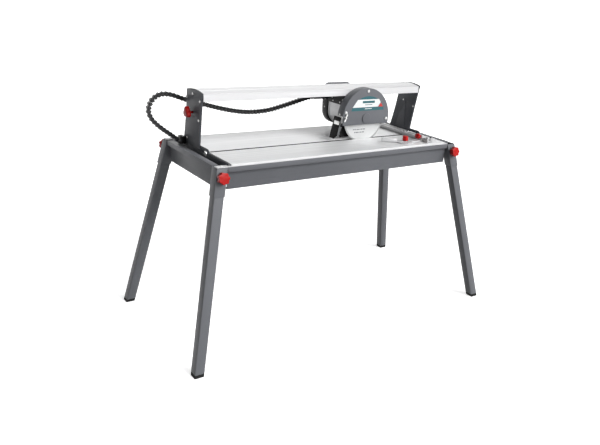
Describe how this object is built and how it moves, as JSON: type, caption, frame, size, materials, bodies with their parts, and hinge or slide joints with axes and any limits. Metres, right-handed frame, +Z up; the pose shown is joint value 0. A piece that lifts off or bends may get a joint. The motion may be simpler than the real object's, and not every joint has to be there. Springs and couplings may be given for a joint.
{
  "type": "bridge tile cutter",
  "caption": "Electric bridge tile cutter: slotted aluminium table over a water tray on four splayed legs, tilting rail, rolling cutting head, angle guide and cable chain.",
  "frame": {"origin": "on the floor, midway between the four feet", "axes": "+X along the rail to the operator's right, +Y away from the operator, +Z up"},
  "size_m": [1.436, 0.722, 0.9205],
  "materials": {
    "grey_paint": "satin grey powder coat",
    "dark_paint": "satin anthracite powder coat",
    "aluminium": "satin anodised",
    "steel": "zinc plated",
    "blade_steel": "ground steel",
    "stator_steel": "laminations and windings",
    "red_plastic": "moulded",
    "black_plastic": "fine grain",
    "nylon": "turned nylon",
    "rubber": "matt"
  },
  "bodies": {
    "frame": {"front_panel": "grey_paint", "rear_panel": "grey_paint", "left_end_panel": "grey_paint", "right_end_panel": "grey_paint", "leg_socket_front_left": "grey_paint", "leg_socket_front_right": "grey_paint", "leg_socket_rear_left": "grey_paint", "leg_socket_rear_right": "grey_paint", "leg_front_left": "grey_paint", "leg_front_right": "grey_paint", "leg_rear_left": "grey_paint", "leg_rear_right": "grey_paint", "foot_front_left": "rubber", "foot_front_right": "rubber", "foot_rear_left": "rubber", "foot_rear_right": "rubber", "table_front_plate": "aluminium", "table_rear_plate": "aluminium", "table_front_rail": "aluminium", "table_rear_rail": "aluminium", "water_tray": "black_plastic", "left_upright": "dark_paint", "right_upright": "dark_paint", "left_pivot_bolt": "steel", "right_pivot_bolt": "steel", "fence_bar": "aluminium", "chain_clamp": "black_plastic", "cable_chain": "black_plastic"},
    "bridge": {"rail": "aluminium", "left_tilt_plate": "dark_paint", "right_tilt_plate": "dark_paint"},
    "carriage": {"saddle": "black_plastic", "handle": "grey_paint", "motor_housing": "aluminium", "motor_end_cover": "black_plastic", "stator": "stator_steel", "front_bearing": "steel", "guard_shell": "grey_paint", "guard_cover": "grey_paint", "flap_holder": "steel"},
    "roller_front_left": {"roller_front_left": "nylon"},
    "roller_front_right": {"roller_front_right": "nylon"},
    "roller_rear_left": {"roller_rear_left": "nylon"},
    "roller_rear_right": {"roller_rear_right": "nylon"},
    "blade_rotor": {"rotor": "steel", "blade": "blade_steel", "blade_nut": "steel"},
    "flap": {"splash_flap": "rubber"},
    "switch": {"switch_rocker": "red_plastic"},
    "guide": {"guide_block": "aluminium"},
    "guide_arm": {"guide_arm": "aluminium"},
    "guide_block_knob": {"guide_block_knob": "red_plastic"},
    "guide_arm_knob": {"guide_arm_knob": "red_plastic"},
    "leg_knob_front_left": {"leg_knob_front_left": "red_plastic"},
    "leg_knob_front_right": {"leg_knob_front_right": "red_plastic"},
    "leg_knob_rear_left": {"leg_knob_rear_left": "red_plastic"},
    "leg_knob_rear_right": {"leg_knob_rear_right": "red_plastic"},
    "left_bevel_knob": {"left_bevel_knob": "red_plastic"},
    "right_bevel_knob": {"right_bevel_knob": "red_plastic"}
  },
  "joints": [
    {"name": "bevel_tilt", "type": "hinge", "parent": "frame", "child": "bridge", "pos_m": [0, -0.05, 0.712], "axis": [1, 0, 0], "range_deg": [0, 45], "deforming": ["cable_chain"]},
    {"name": "head_slide", "type": "slide", "parent": "bridge", "child": "carriage", "axis": [1, 0, 0], "range_m": [-0.5225, 0.1225], "deforming": ["cable_chain"]},
    {"name": "roller_spin_front_left", "type": "hinge", "parent": "carriage", "child": "roller_front_left", "pos_m": [0.1375, 0.021, 0.8965], "axis": [0, 1, 0], "continuous": true},
    {"name": "roller_spin_front_right", "type": "hinge", "parent": "carriage", "child": "roller_front_right", "pos_m": [0.2475, 0.021, 0.8965], "axis": [0, 1, 0], "continuous": true},
    {"name": "roller_spin_rear_left", "type": "hinge", "parent": "carriage", "child": "roller_rear_left", "pos_m": [0.1375, 0.059, 0.8965], "axis": [0, 1, 0], "continuous": true},
    {"name": "roller_spin_rear_right", "type": "hinge", "parent": "carriage", "child": "roller_rear_right", "pos_m": [0.2475, 0.059, 0.8965], "axis": [0, 1, 0], "continuous": true},
    {"name": "blade_spin", "type": "hinge", "parent": "carriage", "child": "blade_rotor", "pos_m": [0.1925, -0.05, 0.801], "axis": [0, 1, 0], "continuous": true},
    {"name": "flap_swing", "type": "hinge", "parent": "carriage", "child": "flap", "pos_m": [0.0695, -0.042, 0.8085], "axis": [0, 1, 0], "range_deg": [0, 45]},
    {"name": "switch_rock", "type": "hinge", "parent": "carriage", "child": "switch", "pos_m": [0.1925, 0.166, 0.815], "axis": [1, 0, 0], "range_deg": [-8, 8]},
    {"name": "guide_slide", "type": "slide", "parent": "frame", "child": "guide", "axis": [0, 1, 0], "range_m": [-0.012, 0.02]},
    {"name": "guide_turn", "type": "hinge", "parent": "guide", "child": "guide_arm", "pos_m": [0.317, -0.18, 0.7245], "axis": [0, 0, 1], "range_deg": [-18, 72]},
    {"name": "guide_block_knob_turn", "type": "hinge", "parent": "guide", "child": "guide_block_knob", "pos_m": [0.395, -0.167, 0.7355], "axis": [-1, 0, 0], "continuous": true},
    {"name": "guide_arm_knob_turn", "type": "hinge", "parent": "guide", "child": "guide_arm_knob", "pos_m": [0.317, -0.18, 0.735], "axis": [0, 0, 1], "continuous": true},
    {"name": "leg_knob_turn_front_left", "type": "hinge", "parent": "frame", "child": "leg_knob_front_left", "pos_m": [-0.54269, -0.23844, 0.67518], "axis": [0, -0.9831, 0.1833], "continuous": true},
    {"name": "leg_knob_turn_front_right", "type": "hinge", "parent": "frame", "child": "leg_knob_front_right", "pos_m": [0.54269, -0.23844, 0.67518], "axis": [0, -0.9831, 0.1833], "continuous": true},
    {"name": "leg_knob_turn_rear_left", "type": "hinge", "parent": "frame", "child": "leg_knob_rear_left", "pos_m": [-0.54269, 0.23844, 0.67518], "axis": [0, 0.9831, 0.1833], "continuous": true},
    {"name": "leg_knob_turn_rear_right", "type": "hinge", "parent": "frame", "child": "leg_knob_rear_right", "pos_m": [0.54269, 0.23844, 0.67518], "axis": [0, 0.9831, 0.1833], "continuous": true},
    {"name": "left_bevel_knob_turn", "type": "hinge", "parent": "frame", "child": "left_bevel_knob", "pos_m": [-0.52, 0.05477, 0.83686], "axis": [1, 0, 0], "continuous": true},
    {"name": "right_bevel_knob_turn", "type": "hinge", "parent": "frame", "child": "right_bevel_knob", "pos_m": [0.52, 0.05477, 0.83686], "axis": [1, 0, 0], "continuous": true}
  ],
  "couplings": [
    {"joint": "roller_spin_front_left", "follows": "head_slide", "rad_per_m": 121.95},
    {"joint": "roller_spin_front_right", "follows": "head_slide", "rad_per_m": 121.95},
    {"joint": "roller_spin_rear_left", "follows": "head_slide", "rad_per_m": 121.95},
    {"joint": "roller_spin_rear_right", "follows": "head_slide", "rad_per_m": 121.95}
  ]
}
